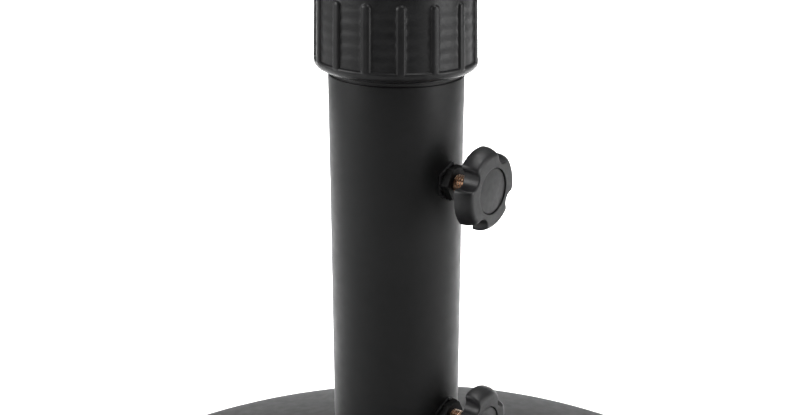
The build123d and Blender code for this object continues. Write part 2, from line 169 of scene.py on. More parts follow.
def finish_mesh(name, verts, faces, body, material, sharp=math.radians(40), replaced=()):
    """A piece that rides on a body, in place of the CAD nodes it replaces; sharp is its crease angle."""
    mesh = bpy.data.meshes.new(name)
    mesh.from_pydata([tuple(v) for v in verts], [], faces)
    mesh.validate()
    shell = bmesh.new()
    shell.from_mesh(mesh)
    bmesh.ops.recalc_face_normals(shell, faces=shell.faces)
    shell.to_mesh(mesh)
    shell.free()
    mesh.shade_smooth()
    mesh.set_sharp_from_angle(angle=sharp)
    piece = bpy.data.objects.new(name, mesh)
    bpy.context.scene.collection.objects.link(piece)
    mesh.materials.append(material)
    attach(piece, body)
    if replaced:
        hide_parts(*replaced)
    return piece


def ring_grid(rings, closed=False, offset=0):
    """Vertices and faces of a stack of rings.

    Closed joins the last ring to the first; otherwise the first and the last each get a cap.
    """
    rings = np.asarray(rings)
    rows, columns = rings.shape[:2]
    verts = rings.reshape(-1, 3)
    faces = []
    for row in range(rows if closed else rows - 1):
        below = offset + row * columns
        above = offset + (row + 1) % rows * columns
        for column in range(columns):
            after = (column + 1) % columns
            faces.append((below + column, below + after, above + after, above + column))
    if not closed:
        faces.append(tuple(offset + column for column in reversed(range(columns))))
        faces.append(tuple(offset + (rows - 1) * columns + column for column in range(columns)))
    return verts, faces


def evenly_round(count):
    return np.arange(count) * TAU / count


def turned_rings(profile, angles):
    """Rings of a solid of revolution; profile is (radius, z) points, or radii may vary with the angle."""
    rings = []
    for radius, z in profile:
        radius = np.broadcast_to(radius, angles.shape)
        heights = np.full(angles.shape, z)
        rings.append(np.stack([radius * np.cos(angles), radius * np.sin(angles), heights], axis=1))
    return rings


def arc(centre, radius, start, end, steps):
    """Points of an arc from one angle to another, in degrees, both ends included."""
    return [
        (centre[0] + radius * math.cos(a), centre[1] + radius * math.sin(a))
        for a in np.radians(np.linspace(start, end, steps + 1))
    ]


def rounded(corners, steps=5):
    """A closed outline from (x, y, corner radius) points, its corners rounded by tangent arcs."""
    outline = []
    count = len(corners)
    for i, (x, y, radius) in enumerate(corners):
        here = Vector((x, y))
        if radius == 0:
            outline.append((x, y))
            continue
        to_last = (Vector(corners[i - 1][:2]) - here).normalized()
        to_next = (Vector(corners[(i + 1) % count][:2]) - here).normalized()
        half = to_last.angle(to_next) / 2
        run = radius / math.tan(half)
        start = here + to_last * run
        end = here + to_next * run
        centre = here + (to_last + to_next).normalized() * (radius / math.sin(half))
        from_centre = start - centre
        to_end = end - centre
        way = 1 if from_centre.x * to_end.y > from_centre.y * to_end.x else -1
        sweep = (math.pi - 2 * half) * way
        for k in range(steps + 1):
            spoke = Matrix.Rotation(sweep * k / steps, 2) @ from_centre
            outline.append((centre.x + spoke.x, centre.y + spoke.y))
    return outline


def closer(outline, spacing):
    """The outline with points added so that no straight run is longer than spacing."""
    filled = []
    for i, here in enumerate(outline):
        after = outline[(i + 1) % len(outline)]
        runs = max(1, math.ceil(math.dist(here, after) / spacing))
        filled += [
            (here[0] + (after[0] - here[0]) * k / runs, here[1] + (after[1] - here[1]) * k / runs)
            for k in range(runs)
        ]
    return filled


def smooth_step(value):
    value = np.clip(value, 0, 1)
    return value * value * (3 - 2 * value)


def thread_height(angles, z, start, height):
    """How far the coarse thread's ridge stands off its wall at each angle; it fades out at both ends."""
    start_z = start + THREAD_PITCH * angles / TAU
    turn = (z - start_z) / THREAD_PITCH
    nearest = np.round(turn)
    distance = np.abs(turn - nearest) * THREAD_PITCH
    flank = (THREAD_ROOT_WIDTH - THREAD_CREST_WIDTH) / 2
    ridge = smooth_step((THREAD_ROOT_WIDTH / 2 - distance) / flank)
    along = nearest + angles / TAU
    fade = smooth_step(along / THREAD_FADE) * smooth_step((height / THREAD_PITCH - along) / THREAD_FADE)
    return THREAD_DEPTH * ridge * fade


# ---------------------------------------------------------------- materials

# Nearly all of a noise texture's values lie between these
NOISE_LOW = 0.35
NOISE_HIGH = 0.65


def material(name, colour, roughness, metallic=0.0, specular=0.5):
    """A new Principled material; specular is the dielectric's level."""
    made = bpy.data.materials.new(name)
    made.use_nodes = True
    shader = made.node_tree.nodes["Principled BSDF"]
    shader.inputs["Base Color"].default_value = (*colour, 1)
    shader.inputs["Roughness"].default_value = roughness
    shader.inputs["Metallic"].default_value = metallic
    shader.inputs["Specular IOR Level"].default_value = specular
    return made


def place_of(made):
    """The material's coordinates: the piece's own space, in metres."""
    nodes = made.node_tree.nodes
    found = nodes.get("Place")
    if not found:
        found = nodes.new("ShaderNodeTexCoord")
        found.name = "Place"
    return found.outputs["Object"]


def noise(made, size, detail=2.0, roughness=0.5):
    """A noise texture whose features are about size metres across."""
    tree = made.node_tree
    texture = tree.nodes.new("ShaderNodeTexNoise")
    texture.inputs["Scale"].default_value = 1 / size
    texture.inputs["Detail"].default_value = detail
    texture.inputs["Roughness"].default_value = roughness
    tree.links.new(place_of(made), texture.inputs["Vector"])
    return texture.outputs["Fac"]


def cells(made, size):
    """A cell texture's distance, for grains and pits about size metres across."""
    tree = made.node_tree
    texture = tree.nodes.new("ShaderNodeTexVoronoi")
    texture.inputs["Scale"].default_value = 1 / size
    tree.links.new(place_of(made), texture.inputs["Vector"])
    return texture.outputs["Distance"]


def ranged(made, value, low, high):
    """A noise value's usual range, spread over low to high."""
    tree = made.node_tree
    remap = tree.nodes.new("ShaderNodeMapRange")
    remap.inputs["From Min"].default_value = NOISE_LOW
    remap.inputs["From Max"].default_value = NOISE_HIGH
    remap.inputs["To Min"].default_value = low
    remap.inputs["To Max"].default_value = high
    tree.links.new(value, remap.inputs["Value"])
    return remap.outputs["Result"]


def vary_roughness(made, value, low, high):
    tree = made.node_tree
    tree.links.new(ranged(made, value, low, high), tree.nodes["Principled BSDF"].inputs["Roughness"])


def vary_colour(made, value, dark, light):
    tree = made.node_tree
    mix = tree.nodes.new("ShaderNodeMix")
    mix.data_type = "RGBA"
    mix.inputs["A"].default_value = (*dark, 1)
    mix.inputs["B"].default_value = (*light, 1)
    tree.links.new(ranged(made, value, 0, 1), mix.inputs["Factor"])
    tree.links.new(mix.outputs["Result"], tree.nodes["Principled BSDF"].inputs["Base Color"])


def add_bump(made, value, height):
    """Bump of that height in metres, on top of any bump that is there already."""
    tree = made.node_tree
    shader = tree.nodes["Principled BSDF"]
    bump = tree.nodes.new("ShaderNodeBump")
    bump.inputs["Distance"].default_value = height
    tree.links.new(value, bump.inputs["Height"])
    if shader.inputs["Normal"].is_linked:
        tree.links.new(shader.inputs["Normal"].links[0].from_socket, bump.inputs["Normal"])
    tree.links.new(bump.outputs["Normal"], shader.inputs["Normal"])


def powder_coat():
    """Black satin powder coating: orange peel about a millimetre across and a finer tooth."""
    made = material("black_powder_coat", (0.017, 0.017, 0.0175), 0.45, specular=0.18)
    cloud = noise(made, 40 * MM, 3)
    vary_colour(made, cloud, (0.0155, 0.0155, 0.016), (0.0185, 0.0185, 0.019))
    vary_roughness(made, noise(made, 6 * MM, 4), 0.42, 0.48)
    add_bump(made, noise(made, 1.1 * MM, 2), 0.012 * MM)
    add_bump(made, noise(made, 0.28 * MM, 1), 0.004 * MM)
    return made


def shaded_nut_steel():
    """A bare weld nut's dark, matt steel, with its colour darkened to near black as painted shade where the
    knob shades it.
    """
    made = material("weld_nut_painted_shade", (0.005, 0.005, 0.005), 0.5, specular=0.14)
    vary_colour(made, noise(made, 3 * MM, 4), (0.004, 0.004, 0.004), (0.009, 0.009, 0.0088))
    vary_roughness(made, noise(made, 1.2 * MM, 3), 0.42, 0.58)
    add_bump(made, noise(made, 0.6 * MM, 3), 0.02 * MM)
    return made


def moulded_plastic(name, colour, low, high, grain=0.35 * MM, depth=0.012 * MM, specular=0.5):
    """Black moulded plastic with a fine spark-eroded grain."""
    made = material(name, colour, (low + high) / 2, specular=specular)
    dark = tuple(0.8 * c for c in colour)
    light = tuple(1.25 * c for c in colour)
    vary_colour(made, noise(made, 9 * MM, 3), dark, light)
    vary_roughness(made, noise(made, 2.5 * MM, 3), low, high)
    add_bump(made, cells(made, grain), depth)
    add_bump(made, noise(made, 2.2 * MM, 2), 0.010 * MM)
    return made


def rubber():
    made = material("rubber", (0.012, 0.012, 0.012), 0.75, specular=0.35)
    vary_colour(made, noise(made, 4 * MM, 4), (0.009, 0.009, 0.009), (0.020, 0.0195, 0.019))
    vary_roughness(made, noise(made, 1.5 * MM, 2), 0.66, 0.82)
    add_bump(made, noise(made, 0.5 * MM, 3), 0.03 * MM)
    return made


def concrete():
    made = material("concrete", (0.42, 0.41, 0.39), 0.9)
    vary_colour(made, noise(made, 14 * MM, 8, 0.6), (0.33, 0.32, 0.30), (0.50, 0.49, 0.47))
    add_bump(made, noise(made, 2.5 * MM, 6), 0.35 * MM)
    add_bump(made, cells(made, 6 * MM), 0.25 * MM)
    return made


def zinc(name, dark, light, low, high):
    """Zinc plate: a fine drawn grain, with a patchy passivated colour."""
    made = material(name, dark, low, metallic=1.0)
    vary_colour(made, noise(made, 3 * MM, 4), dark, light)
    vary_roughness(made, noise(made, 0.9 * MM, 3), low, high)
    add_bump(made, noise(made, 0.25 * MM, 2), 0.006 * MM)
    return made


POWDER = powder_coat()
# The weld nuts' near-black colour is partly the steel's own and partly painted shade from the knob over
# them.
NUT_PAINTED_SHADE = shaded_nut_steel()
PLASTIC = moulded_plastic("black_plastic", (0.009, 0.009, 0.0098), 0.38, 0.48, specular=0.42)
COLLAR_PLASTIC = moulded_plastic(
    "collar_plastic", (0.012, 0.012, 0.0125), 0.36, 0.44, grain=0.5 * MM, depth=0.006 * MM, specular=0.30
)
NYLON = moulded_plastic(
    "black_nylon", (0.009, 0.009, 0.0093), 0.45, 0.58, grain=0.6 * MM, depth=0.008 * MM, specular=0.35
)
RUBBER = rubber()
CONCRETE = concrete()
ZINC = zinc("zinc_steel", (0.50, 0.51, 0.52), (0.66, 0.67, 0.68), 0.30, 0.48)
YELLOW_ZINC = zinc("yellow_zinc", (0.26, 0.16, 0.10), (0.60, 0.45, 0.35), 0.22, 0.34)

CARRIED_OVER = {
    "concrete_core": CONCRETE,
    "base_plate": POWDER,
    "feet_screws": ZINC,
    "foot_disc": POWDER,
    "anchor_nut": ZINC,
    "anchor_washer": ZINC,
    "anchor_bolt": ZINC,
    "collet": NYLON,
    "upper_weld_nut": NUT_PAINTED_SHADE,
    "lower_weld_nut": NUT_PAINTED_SHADE,
    "upper_shoe": NYLON,
    "lower_shoe": NYLON,
}
for node_name, coat in CARRIED_OVER.items():
    node = frame["nodes"][node_name]
    node.data.materials.clear()
    node.data.materials.append(coat)


# ---------------------------------------------------------------- weight

def dome_arc(inset):
    """The dome's profile from its side to its top, drawn in by inset, as (radius, z) points."""
    centre_x = WEIGHT_RADIUS - SHOULDER_RADIUS
    round_radius = SHOULDER_RADIUS - inset
    shoulder = arc((centre_x, SHOULDER_CENTRE_Z), round_radius, 0, 90 - math.degrees(DOME_SLOPE), 16)
    end_x, end_z = shoulder[-1]
    sphere_radius = end_x / math.sin(DOME_SLOPE)
    sphere_z = end_z - sphere_radius * math.cos(DOME_SLOPE)
    radii = np.linspace(end_x, TUBE_RADIUS + 0.1 * MM, 36)[1:]
    return shoulder + [(r, sphere_z + math.sqrt(sphere_radius ** 2 - r * r)) for r in radii]


def build_shell():
    hem = SHELL_THICKNESS / 2
    middle = WEIGHT_RADIUS - hem
    lip = arc((middle, SHELL_BOTTOM + hem), hem, -180, 0, 8)
    profile = lip + dome_arc(0) + dome_arc(SHELL_THICKNESS)[::-1]
    rings = turned_rings(profile, evenly_round(288))
    verts, faces = ring_grid(rings, closed=True)
    finish_mesh("dome_cover", verts, faces, "base", POWDER, replaced=["weight_shell"])


def build_feet():
    """Six turned rubber feet with two grip grooves round each sole."""
    low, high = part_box("rubber_feet")
    circle = high[0] - FOOT_RADIUS
    sole = [
        (15.6, 0.0, 0.0),
        (13.6, 0.0, 0.3), (13.3, 0.9, 0.2), (12.5, 0.9, 0.2), (12.2, 0.0, 0.3),
        (10.6, 0.0, 0.3), (10.3, 0.9, 0.2), (9.5, 0.9, 0.2), (9.2, 0.0, 0.3),
    ]
    recess = [(7.0, 0.0, 0.4), (7.0, 6.0, 0.3), (2.55, 6.0, 0.0), (2.55, 10.95, 0.0)]
    side = [(15.5, 10.95, 0.6), (16.7, 3.0, 0.6), (17.0, 1.4, 0.8)]
    corners = [(r * MM, low[2] + z * MM, c * MM) for r, z, c in sole + recess + side]
    profile = rounded(corners, 3)
    one = np.array(turned_rings(profile, evenly_round(64)))
    verts, faces = [], []
    for turn in evenly_round(FOOT_COUNT):
        foot = one + np.array([circle * math.cos(turn), circle * math.sin(turn), 0])
        grid_verts, grid_faces = ring_grid(foot, closed=True, offset=len(verts))
        verts += list(grid_verts)
        faces += grid_faces
    finish_mesh("feet_rubber", verts, faces, "base", RUBBER, replaced=["rubber_feet"])


build_shell()
build_feet()


# ---------------------------------------------------------------- stem

def clamp_matrix(name):
    """The frame of a clamp: Z points out along its screw, Y up, its origin on the stem's axis."""
    outward = Vector(joint(name + "_knob_turn")["axis"])
    height = joint(name + "_knob_turn")["pos_m"][2]
    up = Vector((0, 0, 1))
    sideways = up.cross(outward)
    turn = Matrix((sideways, up, outward)).transposed().to_4x4()
    return Matrix.Translation((0, 0, height)) @ turn


def moved(points, matrix):
    """The points, in any nesting of rings, carried by the matrix."""
    points = np.asarray(points)
    flat = points.reshape(-1, 3) @ np.array(matrix.to_3x3()).T + np.array(matrix.translation)
    return flat.reshape(points.shape)


def build_tube():
    """The stem's tube, with a hole drilled through its wall for each clamp screw."""
    profile = rounded([
        (TUBE_BORE, TUBE_BOTTOM, 0),
        (TUBE_RADIUS, TUBE_BOTTOM, 0),
        (TUBE_RADIUS, TUBE_TOP, 0.45 * MM),
        (TUBE_BORE, TUBE_TOP, 0.3 * MM),
    ], 4)
    rings = turned_rings(closer(profile, 20 * MM), evenly_round(160))
    verts, faces = ring_grid(rings, closed=True)
    tube = finish_mesh("stem_pipe", verts, faces, "base", POWDER, replaced=["stem_tube"])
    for name in KNOB_TURNS:
        hole = [(PIPE_HOLE_RADIUS, 10 * MM), (PIPE_HOLE_RADIUS, 40 * MM)]
        drill = turned_rings(hole, evenly_round(48))
        verts, faces = ring_grid(moved(drill, clamp_matrix(name)))
        mesh = bpy.data.meshes.new("drill")
        mesh.from_pydata([tuple(v) for v in verts], [], faces)
        cutter = bpy.data.objects.new("drill", mesh)
        bpy.context.scene.collection.objects.link(cutter)
        cut = tube.modifiers.new("hole", "BOOLEAN")
        cut.operation = "DIFFERENCE"
        cut.solver = "EXACT"
        cut.object = cutter
        bpy.context.view_layer.update()
        evaluated = tube.evaluated_get(bpy.context.evaluated_depsgraph_get())
        drilled = bpy.data.meshes.new_from_object(evaluated)
        tube.modifiers.clear()
        tube.data = drilled
        bpy.data.objects.remove(cutter)


def build_trim_ring():
    low, high = trim_low[2], trim_high[2]
    outer = trim_high[0]
    profile = rounded([
        (TUBE_RADIUS + TRIM_CLEARANCE, low + 0.2 * MM, 0),
        (outer, low, 0.2 * MM),
        (outer, high, TRIM_ROUNDING),
        (TUBE_RADIUS + TRIM_CLEARANCE, high, 0.5 * MM),
    ], 8)
    rings = turned_rings(profile, evenly_round(128))
    verts, faces = ring_grid(rings, closed=True)
    finish_mesh("foot_ring", verts, faces, "base", PLASTIC, replaced=["trim_ring"])


build_tube()
build_trim_ring()


# ---------------------------------------------------------------- clamps

def knob_outline(radius, notch, corner):
    """The four-lobed outline: its points, their outward normals, and their angles on the round seat."""
    notch_seat, corner_seat = 28, 33
    centre_x = math.sqrt((radius - corner) ** 2 - (notch + corner) ** 2)
    corner_centre = Vector((centre_x, notch + corner))
    notch_end = math.pi / 2
    if centre_x < KNOB_NOTCH_CENTRE:
        spread = (radius - corner) ** 2 + KNOB_NOTCH_CENTRE ** 2 - (notch + corner) ** 2
        corner_end = math.acos(spread / (2 * (radius - corner) * KNOB_NOTCH_CENTRE))
        corner_centre = (radius - corner) * Vector((math.cos(corner_end), math.sin(corner_end)))
        notch_end = math.atan2(corner_centre.y, corner_centre.x - KNOB_NOTCH_CENTRE)
    corner_end = math.atan2(corner_centre.y, corner_centre.x)
    points, normals, seats = [], [], []

    def add(x, y, normal_angle, seat):
        points.append((x, y))
        normals.append((math.cos(normal_angle), math.sin(normal_angle)))
        seats.append(seat)

    for k in range(14):
        share = k / 14
        angle = math.pi + share * (notch_end - math.pi)
        x = KNOB_NOTCH_CENTRE + notch * math.cos(angle)
        add(x, notch * math.sin(angle), angle + math.pi, notch_seat * share)
    for k in range(10):
        share = k / 9
        angle = notch_end - math.pi + share * (corner_end - notch_end + math.pi)
        x = corner_centre.x + corner * math.cos(angle)
        y = corner_centre.y + corner * math.sin(angle)
        add(x, y, angle, notch_seat + (corner_seat - notch_seat) * share)
    for k in range(1, 11):
        share = k / 10
        angle = corner_end + share * (math.pi / 4 - corner_end)
        seat = corner_seat + (45 - corner_seat) * share
        add(radius * math.cos(angle), radius * math.sin(angle), angle, seat)

    points, normals, seats = np.array(points), np.array(normals), np.radians(seats)
    flip = np.array([1, -1])
    points = np.concatenate([points, points[-2:0:-1] * flip])
    normals = np.concatenate([normals, normals[-2:0:-1] * flip])
    seats = np.concatenate([seats, -seats[-2:0:-1]])
    half = len(seats) // 2 + 1
    order = np.concatenate([np.arange(half, len(seats)), np.arange(0, half)])
    points, normals, seats = points[order], normals[order], seats[order]
    outline, outward, seat_angles = [], [], []
    for quarter in range(4):
        turn = quarter * math.pi / 2
        spin = np.array([[math.cos(turn), math.sin(turn)], [-math.sin(turn), math.cos(turn)]])
        outline.append(points @ spin)
        outward.append(normals @ spin)
        seat_angles.append(seats + turn)
    return np.concatenate(outline), np.concatenate(outward), np.concatenate(seat_angles)


def knob_stations(inset):
    """The knob's profile drawn in by inset, as (radius, height) from its side over its flank to its face."""
    edge_rise = KNOB_FRONT - KNOB_EDGE_ROUNDING - KNOB_FLANK_START
    edge_angle = math.asin(edge_rise / (KNOB_FLANK_ROUNDING - KNOB_EDGE_ROUNDING))
    flank_x = KNOB_RADIUS - KNOB_FLANK_ROUNDING
    edge_centre = (flank_x + edge_rise / math.tan(edge_angle), KNOB_FRONT - KNOB_EDGE_ROUNDING)
    edge_degrees = math.degrees(edge_angle)
    flank = arc((flank_x, KNOB_FLANK_START), KNOB_FLANK_ROUNDING - inset, 0, edge_degrees, 12)
    edge = arc(edge_centre, KNOB_EDGE_ROUNDING - inset, edge_degrees, 90, 12)
    return flank + edge[1:]


def notch_flare(height):
    """How much wider the notches are near the face, where their rims are rounded."""
    rise = max(0.0, (height - KNOB_FRONT + KNOB_NOTCH_FLARE) / KNOB_NOTCH_FLARE)
    return KNOB_NOTCH_FLARE * (1 - math.sqrt(max(0.0, 1 - rise * rise)))


def knob_rings():
    """The knob's closed skin: up its side, over its face, through its bore and back inside its wall."""
    outline, outward, seats = knob_outline(KNOB_RADIUS, KNOB_NOTCH_RADIUS, KNOB_CORNER_RADIUS)

    def ring(plan, height):
        return np.column_stack([plan, np.broadcast_to(height, len(plan))])

    def circle(radius, height):
        return ring(radius * np.column_stack([np.cos(seats), np.sin(seats)]), height)

    rings = [
        ring(outline - outward * KNOB_RIM_ROUNDING, KNOB_REAR),
        ring(outline - outward * 0.08 * MM, KNOB_REAR + 0.08 * MM),
        ring(outline, KNOB_REAR + KNOB_RIM_ROUNDING),
        ring(outline, (KNOB_REAR + KNOB_FLANK_START) / 2),
    ]
    for radius, height in knob_stations(0):
        notch = KNOB_NOTCH_RADIUS + notch_flare(height)
        edge, _, _ = knob_outline(radius, notch, KNOB_CORNER_RADIUS)
        rings.append(ring(edge, height))
    seat = KNOB_SEAT_RADIUS * np.column_stack([np.cos(seats), np.sin(seats)])
    for share in np.linspace(0, 1, 9)[1:-1]:
        rings.append(ring(edge + (seat - edge) * share, KNOB_FRONT))
    rings += [
        circle(KNOB_SEAT_RADIUS + KNOB_SEAT_ROUNDING, KNOB_FRONT),
        circle(KNOB_SEAT_RADIUS + 0.06 * MM, KNOB_FRONT - 0.06 * MM),
        circle(KNOB_SEAT_RADIUS, KNOB_FRONT - KNOB_SEAT_ROUNDING),
        circle(KNOB_SEAT_RADIUS, KNOB_CAP_SEAT - 0.05 * MM),
        circle(SCREW_HEAD_POCKET, KNOB_CAP_SEAT - 0.05 * MM),
        circle(SCREW_HEAD_POCKET, SCREW_HEAD_BOTTOM),
        circle(SCREW_RADIUS + 0.1 * MM, SCREW_HEAD_BOTTOM),
        circle(SCREW_RADIUS + 0.1 * MM, KNOB_HUB_BOTTOM + 0.3 * MM),
        circle(SCREW_RADIUS + 0.4 * MM, KNOB_HUB_BOTTOM),
        circle(KNOB_HUB_RADIUS - 0.5 * MM, KNOB_HUB_BOTTOM),
        circle(KNOB_HUB_RADIUS, KNOB_HUB_BOTTOM + 0.5 * MM),
        circle(KNOB_HUB_RADIUS, KNOB_FRONT - KNOB_WALL),
    ]
    for radius, height in reversed(knob_stations(KNOB_WALL)):
        inner, _, _ = knob_outline(radius, KNOB_NOTCH_RADIUS + KNOB_WALL, KNOB_INNER_CORNER_RADIUS)
        rings.append(ring(inner, height))
    rings += [ring(inner, KNOB_REAR + 0.2 * MM), ring(outline - outward * (KNOB_WALL - 0.2 * MM), KNOB_REAR)]
    return rings


def screw_rings(start, end):
    """An M8 screw's threaded shaft from start to end, chamfered at its start."""
    angles = evenly_round(48)
    rings = []
    for z in np.linspace(start, end, 1 + round((end - start) / SCREW_PITCH * SCREW_STEPS)):
        phase = (z / SCREW_PITCH - angles / TAU) % 1
        flank = np.abs(2 * phase - 1)
        crest = np.clip(flank * 1.25 - 0.1, 0, 1)
        profile = 0.35 * smooth_step(crest) + 0.65 * crest
        radius = SCREW_RADIUS - SCREW_DEPTH + SCREW_DEPTH * profile
        chamfer = SCREW_RADIUS - SCREW_DEPTH + (z - start)
        rings.append(turned_rings([(np.minimum(radius, chamfer), z)], angles)[0])
    return rings


def build_clamp(name):
    """A clamp's knob, cap, screw and weld; its nut and shoe are the CAD's own."""
    place = clamp_matrix(name)
    turn = place @ Matrix.Rotation(KNOB_TURNS[name], 4, "Z")
    body = name + "_knob"

    verts, faces = ring_grid(moved(knob_rings(), turn), closed=True)
    grip = name + "_knob_grip"
    finish_mesh(grip, verts, faces, body, PLASTIC, replaced=[name + "_knob"])

    cap = rounded([
        (0.02 * MM, KNOB_CAP_SEAT, 0),
        (KNOB_CAP_RADIUS, KNOB_CAP_SEAT, 0),
        (KNOB_CAP_RADIUS, KNOB_CAP_TOP - 0.03 * MM, 0.35 * MM),
        (0.02 * MM, KNOB_CAP_TOP, 0),
    ], 5)
    rings = turned_rings(cap, evenly_round(96))
    verts, faces = ring_grid(moved(rings, turn))
    disc = name + "_knob_disc"
    finish_mesh(disc, verts, faces, body, PLASTIC, replaced=[name + "_knob_cap"])

    tip = turned_rings([
        (SCREW_TIP_RADIUS - 0.3 * MM, SCREW_TIP),
        (SCREW_TIP_RADIUS, SCREW_TIP + 0.3 * MM),
        (SCREW_TIP_RADIUS, SCREW_THREAD_START - 0.05 * MM),
    ], evenly_round(48))
    shaft = screw_rings(SCREW_THREAD_START, SCREW_HEAD_BOTTOM)
    corner = SCREW_HEAD_FLATS / math.sqrt(3)
    verts, faces = ring_grid(moved(tip + shaft, turn))
    verts = list(verts)
    head = turned_rings([
        (corner - 0.4 * MM, SCREW_HEAD_BOTTOM + 0.02 * MM),
        (corner, SCREW_HEAD_BOTTOM + 0.4 * MM),
        (corner, KNOB_CAP_SEAT - 0.5 * MM),
        (corner - 0.6 * MM, KNOB_CAP_SEAT - 0.08 * MM),
    ], evenly_round(6))
    head_verts, head_faces = ring_grid(moved(head, turn), offset=len(verts))
    verts += list(head_verts)
    faces += head_faces
    screw = name + "_clamp_screw"
    finish_mesh(screw, verts, faces, body, YELLOW_ZINC, replaced=[name + "_screw"])
    build_weld(name, place)


def build_weld(name, place):
    """The rippled weld round the nut's foot, lying in the corner between its flats and the tube."""
    rings = []
    for angle in evenly_round(144):
        from_flat = (angle + math.pi / 6) % (math.pi / 3) - math.pi / 6
        hexagon = NUT_FLAT_DISTANCE / math.cos(from_flat)
        radius = min(hexagon, NUT_CORNER_DISTANCE) + 0.2 * MM
        ripple = 1 + 0.10 * math.sin(22 * angle) + 0.06 * math.sin(9 * angle + 1)
        bead = WELD_RADIUS * ripple
        x, y = radius * math.cos(angle), radius * math.sin(angle)
        centre = Vector((x, y, math.sqrt(TUBE_RADIUS ** 2 - x * x) + 0.05 * MM))
        side = Vector((math.cos(angle), math.sin(angle), 0))
        section = []
        for turn in evenly_round(12):
            lift = Vector((0, 0, bead * 0.85 * math.sin(turn)))
            section.append(centre + side * bead * math.cos(turn) + lift)
        rings.append([tuple(p) for p in section])
    verts, faces = ring_grid(moved(rings, place), closed=True)
    finish_mesh(name + "_weld_bead", verts, faces, "base", POWDER, sharp=math.pi)


for clamp in KNOB_TURNS:
    build_clamp(clamp)


# ---------------------------------------------------------------- collar

def rib_columns():
    """Angles round the collar, closer together across each rib."""
    sector = TAU / RIB_COUNT
    across = np.linspace(-2.5, 2.5, 23) * MM / RIB_BASE_RADIUS
    between = np.linspace(across[-1], sector + across[0], 9)[1:-1]
    one = np.concatenate([across, between])
    return np.concatenate([RIB_AZIMUTH + sector * k + one for k in range(RIB_COUNT)])


def rib_height(angles, z):
    """How far the ribs stand off the panels: rounded crests, and rounded tops."""
    sector = TAU / RIB_COUNT
    offset = (angles - RIB_AZIMUTH + sector / 2) % sector - sector / 2
    sideways = np.abs(offset) * RIB_BASE_RADIUS
    half = RIB_WIDTH / 2
    above = max(0.0, z - (RIB_TOP - half))
    distance = np.sqrt(sideways ** 2 + above ** 2) / half
    crest = np.clip(1 - distance ** 3.2, 0, 1) ** 0.55
    foot = 0.10 * np.exp(-((distance - 1) / 0.16) ** 2)
    start = smooth_step((z - RIB_BOTTOM) / (1.5 * MM))
    return RIB_HEIGHT * np.maximum(crest, foot) * start


def build_collar():
    """The ribbed nut: bead, panels and ribs outside, and its opening, lip and thread inside."""
    bottom, top = collar_low[2], collar_high[2]
    angles = rib_columns()
    turn = angles % TAU

    panel_start = bottom + PANEL_RISE
    bead_centre = (BEAD_RADIUS - BEAD_ROUNDING, bottom + BEAD_ROUNDING)
    outer = [
        (32.0 * MM, bottom),
        *arc(bead_centre, BEAD_ROUNDING, -84, 0, 12),
        (BEAD_RADIUS, bottom + 3.6 * MM),
        (BEAD_RADIUS - 0.07 * MM, bottom + 3.95 * MM),
        (BEAD_RADIUS - 0.25 * MM, bottom + 4.2 * MM),
        (BEAD_RADIUS - 0.5 * MM, bottom + 4.36 * MM),
        (BEAD_RADIUS - 0.8 * MM, bottom + 4.44 * MM),
        (PANEL_RADIUS, panel_start),
    ]
    heights = list(np.arange(panel_start + 0.4 * MM, RIB_TOP - 2.4 * MM, 0.5 * MM))
    heights += list(np.arange(RIB_TOP - 2.4 * MM, RIB_TOP + 0.5 * MM, 0.2 * MM))
    heights += list(np.linspace(RIB_TOP + 1.2 * MM, top - COLLAR_ROUNDING, 5))
    run = top - COLLAR_ROUNDING - panel_start

    def panel_radius(z):
        return PANEL_RADIUS + (NECK_RADIUS - PANEL_RADIUS) * max(0.0, (z - panel_start) / run)

    outer += [(panel_radius(z), z) for z in heights]
    panel_end = len(outer)
    outer += arc((NECK_RADIUS - COLLAR_ROUNDING, top - COLLAR_ROUNDING), COLLAR_ROUNDING, 6, 90, 12)

    inner = [
        (COLLAR_OPENING + 0.35 * MM, top),
        (COLLAR_OPENING + 0.1 * MM, top - 0.1 * MM),
        (COLLAR_OPENING, top - 0.4 * MM),
        (COLLAR_OPENING, top - 2.0 * MM),
        (COLLAR_CHAMBER, top - 8.0 * MM),
        (COLLAR_CHAMBER, COLLAR_LIP_TOP),
        (COLLAR_LIP, COLLAR_LIP_TOP),
        (COLLAR_LIP, COLLAR_LIP_BOTTOM),
        (COLLAR_THREAD_BORE, COLLAR_LIP_BOTTOM),
    ]
    thread_start = len(outer) + len(inner)
    inner += [(COLLAR_THREAD_BORE, z) for z in np.arange(THREAD_TOP, bottom + 0.6 * MM, -0.36 * MM)]
    inner.append((COLLAR_THREAD_BORE + 0.2 * MM, bottom))

    profile = []
    for i, (radius, z) in enumerate(outer + inner):
        radii = np.full(angles.shape, radius)
        if i < panel_end:
            sink = THREAD_SINK * (0.5 + 0.5 * np.cos(TAU * (z / THREAD_PITCH - turn / TAU)))
            fade_in = smooth_step((z - RIB_BOTTOM - 3 * MM) / (3 * MM))
            fade_out = smooth_step((RIB_TOP - z) / (4 * MM))
            ribs = rib_height(angles, z)
            if z > RIB_BOTTOM:
                radii = np.maximum(radii, panel_radius(z) + ribs)
            radii = radii - sink * fade_in * fade_out * (1 - smooth_step(ribs / (0.1 * MM)))
        elif i >= thread_start:
            radii = radii - thread_height(turn, z, TUBE_TOP + 7.5 * MM, 15 * MM)
        profile.append((radii, z))
    rings = turned_rings(profile, angles)
    verts, faces = ring_grid(rings, closed=True)
    coat = COLLAR_PLASTIC
    finish_mesh("collar_grip", verts, faces, "collar", coat, replaced=["collar_nut"])


